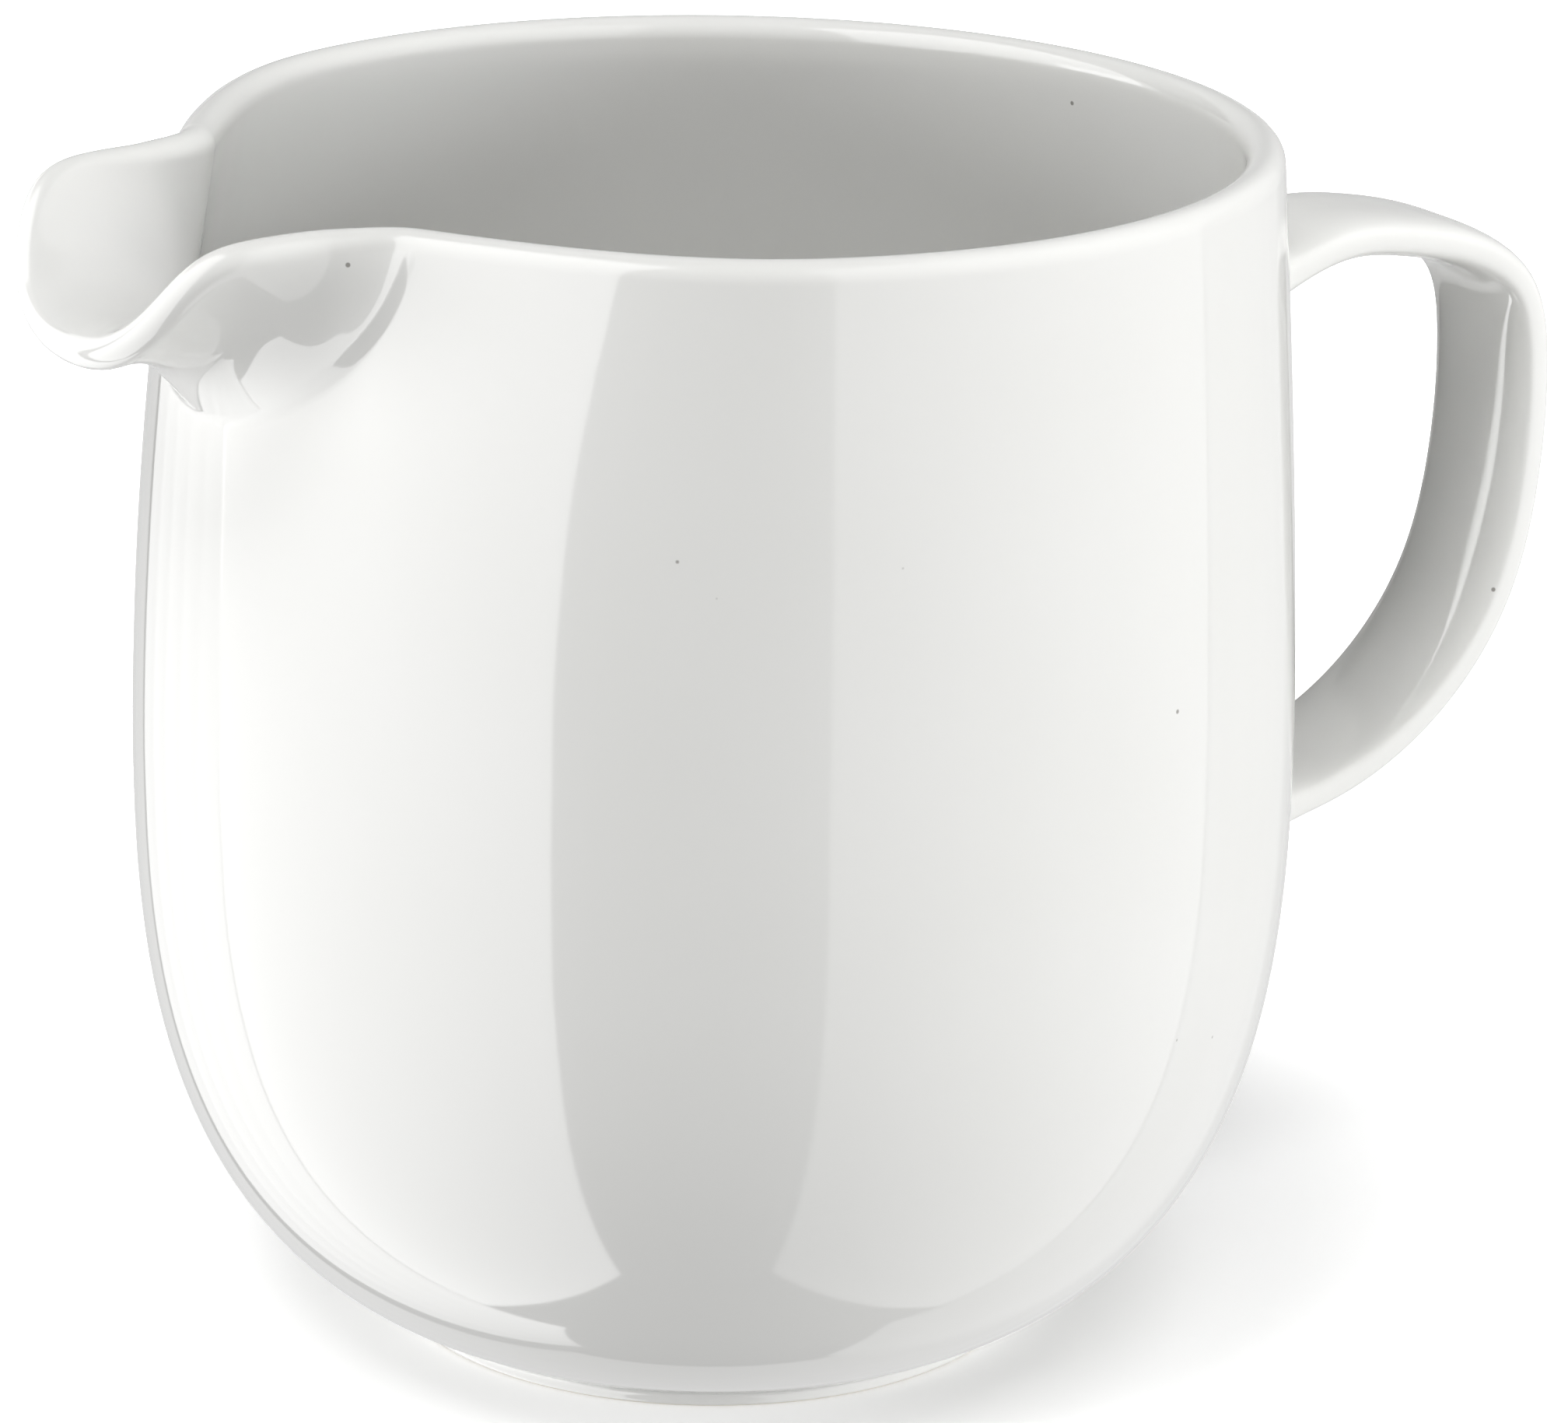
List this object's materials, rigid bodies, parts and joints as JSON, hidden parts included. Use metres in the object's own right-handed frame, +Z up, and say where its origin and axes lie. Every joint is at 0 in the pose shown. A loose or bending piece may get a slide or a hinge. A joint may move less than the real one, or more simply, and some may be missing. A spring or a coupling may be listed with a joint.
{
  "type": "porcelain jug",
  "caption": "White glazed porcelain jug with a rounded body on a low foot ring, a pulled spout at the rim and a flat strap handle opposite.",
  "frame": {"origin": "middle of the bounding box at the bottom, on the plane the foot ring stands on", "axes": "+Z up; +X towards the handle, with the spout at -X; XZ is the plane of symmetry"},
  "size_m": [0.1448, 0.1, 0.1044],
  "materials": {
    "porcelain": "clear glossy glaze over white porcelain"
  },
  "bodies": {
    "root": {"jug": "porcelain"}
  },
  "joints": []
}
